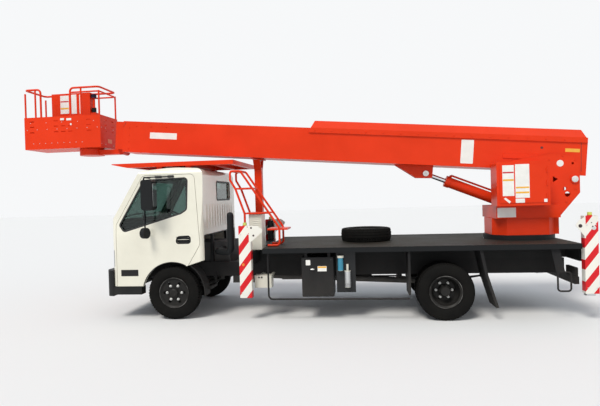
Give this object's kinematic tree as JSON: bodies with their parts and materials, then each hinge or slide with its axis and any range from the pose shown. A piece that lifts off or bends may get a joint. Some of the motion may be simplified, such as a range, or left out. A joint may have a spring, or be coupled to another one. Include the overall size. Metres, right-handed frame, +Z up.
{
  "type": "truck-mounted telescopic boom platform",
  "caption": "White cab-over truck with an orange-red telescopic boom on a turret, a slotted work basket over the cab, striped outrigger covers and a flat deck.",
  "frame": {"origin": "centre of the overall box, on the ground", "axes": "+X towards the rear of the truck, +Y towards its right side, +Z up; the cab faces -X"},
  "size_m": [8.7435, 2.46, 3.641],
  "materials": {
    "cab_white": "gloss white paint",
    "boom_orange": "gloss orange-red paint",
    "guard_orange": "orange-red paint, scuffed",
    "cover_white": "white paint with red slanted stripes",
    "deck_dark": "dark blue-grey paint, worn by feet",
    "chassis_black": "black chassis paint",
    "engine_iron": "painted casting",
    "exhaust_steel": "heat-stained steel",
    "trim_black": "grained black plastic",
    "cab_glass": "clear tinted glass",
    "lamp_lens": "clear lamp lens",
    "cabinet_white": "off-white paint",
    "rod_chrome": "hard chrome",
    "seat_fabric": "woven seat cloth",
    "tyre_rubber": "black rubber",
    "rim_black": "black paint with bright nuts"
  },
  "bodies": {
    "truck": {"air_intake": "trim_black", "axles": "chassis_black", "boom_rest": "guard_orange", "bumper": "trim_black", "cab_floor": "trim_black", "cab_glass": "cab_glass", "cab_shell": "cab_white", "canopy": "guard_orange", "chassis_frame": "chassis_black", "dashboard": "trim_black", "deck": "deck_dark", "drivetrain": "engine_iron", "exhaust": "exhaust_steel", "fuel_tank": "chassis_black", "guards": "chassis_black", "headlamps": "lamp_lens", "hydraulic_units": "cabinet_white", "ladder": "guard_orange", "leaf_springs": "chassis_black", "locker": "chassis_black", "rear_bumper": "chassis_black", "seats": "seat_fabric", "slew_ring": "deck_dark", "spare_wheel": "tyre_rubber", "subframe": "deck_dark"},
    "steer_l": {"knuckle_l": "chassis_black"},
    "steer_r": {"knuckle_r": "chassis_black"},
    "wheel_fl": {"rim_fl": "rim_black", "tyre_fl": "tyre_rubber"},
    "wheel_fr": {"rim_fr": "rim_black", "tyre_fr": "tyre_rubber"},
    "wheels_rl": {"rims_rl": "rim_black", "tyres_rl": "tyre_rubber"},
    "wheels_rr": {"rims_rr": "rim_black", "tyres_rr": "tyre_rubber"},
    "door_left": {"door_l": "cab_white", "door_glass_l": "cab_glass", "mirrors_l": "trim_black"},
    "door_right": {"door_r": "cab_white", "door_glass_r": "cab_glass", "mirrors_r": "trim_black"},
    "locker_lid": {"locker_door": "chassis_black"},
    "turret": {"turret_frame": "boom_orange", "turret_box": "boom_orange"},
    "boom": {"boom_base": "boom_orange", "boom_hood": "boom_orange"},
    "boom_second": {"boom_mid": "boom_orange"},
    "boom_third": {"boom_tip": "boom_orange"},
    "cylinder_barrel": {"lift_barrel": "boom_orange"},
    "cylinder_rod": {"lift_rod": "rod_chrome"},
    "platform_arm": {"platform_bracket": "boom_orange"},
    "platform": {"basket": "boom_orange"},
    "outrigger_fl": {"outrigger_front_l": "cover_white"},
    "jack_fl": {"jack_front_l": "rod_chrome"},
    "outrigger_fr": {"outrigger_front_r": "cover_white"},
    "jack_fr": {"jack_front_r": "rod_chrome"},
    "outrigger_rl": {"outrigger_rear_l": "cover_white"},
    "jack_rl": {"jack_rear_l": "rod_chrome"},
    "outrigger_rr": {"outrigger_rear_r": "cover_white"},
    "jack_rr": {"jack_rear_r": "rod_chrome"}
  },
  "joints": [
    {"name": "steer_left", "type": "hinge", "parent": "truck", "child": "steer_l", "pos_m": [-1.662, -0.69, 0.39], "axis": [0, 0, 1], "range_deg": [-35, 35]},
    {"name": "steer_right", "type": "hinge", "parent": "truck", "child": "steer_r", "pos_m": [-1.662, 0.69, 0.39], "axis": [0, 0, 1], "range_deg": [-35, 35]},
    {"name": "spin_fl", "type": "hinge", "parent": "steer_l", "child": "wheel_fl", "pos_m": [-1.662, -0.8275, 0.39], "axis": [0, 1, 0], "continuous": true},
    {"name": "spin_fr", "type": "hinge", "parent": "steer_r", "child": "wheel_fr", "pos_m": [-1.662, 0.8275, 0.39], "axis": [0, 1, 0], "continuous": true},
    {"name": "spin_rl", "type": "hinge", "parent": "truck", "child": "wheels_rl", "pos_m": [2.208, -0.78, 0.39], "axis": [0, 1, 0], "continuous": true},
    {"name": "spin_rr", "type": "hinge", "parent": "truck", "child": "wheels_rr", "pos_m": [2.208, 0.78, 0.39], "axis": [0, 1, 0], "continuous": true},
    {"name": "door_left_hinge", "type": "hinge", "parent": "truck", "child": "door_left", "pos_m": [-2.508, -0.95, 1.2], "axis": [0, 0, -1], "range_deg": [0, 70]},
    {"name": "door_right_hinge", "type": "hinge", "parent": "truck", "child": "door_right", "pos_m": [-2.508, 0.95, 1.2], "axis": [0, 0, 1], "range_deg": [0, 70]},
    {"name": "locker_hinge", "type": "hinge", "parent": "truck", "child": "locker_lid", "pos_m": [0.243, -0.9863, 0.615], "axis": [0, 0, -1], "range_deg": [0, 90]},
    {"name": "slew", "type": "hinge", "parent": "truck", "child": "turret", "pos_m": [3.448, 0, 1.1], "axis": [0, 0, 1], "continuous": true},
    {"name": "luff", "type": "hinge", "parent": "turret", "child": "boom", "pos_m": [4.158, 0, 1.887], "axis": [0, 1, 0], "range_deg": [0, 75]},
    {"name": "barrel_turn", "type": "hinge", "parent": "turret", "child": "cylinder_barrel", "pos_m": [3.538, 0, 1.45], "axis": [0, 1, 0], "range_deg": [0, 73.63]},
    {"name": "rod_slide", "type": "slide", "parent": "cylinder_barrel", "child": "cylinder_rod", "axis": [-0.9248, 0, 0.3804], "range_m": [0, 0.9233]},
    {"name": "telescope_second", "type": "slide", "parent": "boom", "child": "boom_second", "axis": [-0.9967, 0, 0.0811], "range_m": [0, 4.8]},
    {"name": "telescope_third", "type": "slide", "parent": "boom_second", "child": "boom_third", "axis": [-0.9967, 0, 0.0811], "range_m": [0, 4.8]},
    {"name": "platform_level", "type": "hinge", "parent": "boom_third", "child": "platform_arm", "pos_m": [-2.79926, 0, 2.57328], "axis": [0, 1, 0], "range_deg": [-75.5, 0.5]},
    {"name": "platform_swing", "type": "hinge", "parent": "platform_arm", "child": "platform", "pos_m": [-3.362, 0, 2.64], "axis": [0, 0, 1], "range_deg": [-90, 90]},
    {"name": "beam_fl", "type": "slide", "parent": "truck", "child": "outrigger_fl", "axis": [0, -1, 0], "range_m": [0, 0.55]},
    {"name": "leg_fl", "type": "slide", "parent": "outrigger_fl", "child": "jack_fl", "axis": [0, 0, -1], "range_m": [0, 0.45]},
    {"name": "beam_fr", "type": "slide", "parent": "truck", "child": "outrigger_fr", "axis": [0, 1, 0], "range_m": [0, 0.55]},
    {"name": "leg_fr", "type": "slide", "parent": "outrigger_fr", "child": "jack_fr", "axis": [0, 0, -1], "range_m": [0, 0.45]},
    {"name": "beam_rl", "type": "slide", "parent": "truck", "child": "outrigger_rl", "axis": [0, -1, 0], "range_m": [0, 0.55]},
    {"name": "leg_rl", "type": "slide", "parent": "outrigger_rl", "child": "jack_rl", "axis": [0, 0, -1], "range_m": [0, 0.45]},
    {"name": "beam_rr", "type": "slide", "parent": "truck", "child": "outrigger_rr", "axis": [0, 1, 0], "range_m": [0, 0.55]},
    {"name": "leg_rr", "type": "slide", "parent": "outrigger_rr", "child": "jack_rr", "axis": [0, 0, -1], "range_m": [0, 0.45]}
  ],
  "couplings": [
    {"joint": "steer_right", "follows": "steer_left", "ratio": 1},
    {"joint": "barrel_turn", "follows": "luff", "ratio": 0.97512},
    {"joint": "rod_slide", "follows": "luff", "m_per_rad": 0.70381},
    {"joint": "platform_level", "follows": "luff", "ratio": -1},
    {"joint": "telescope_third", "follows": "telescope_second", "ratio": 1}
  ]
}
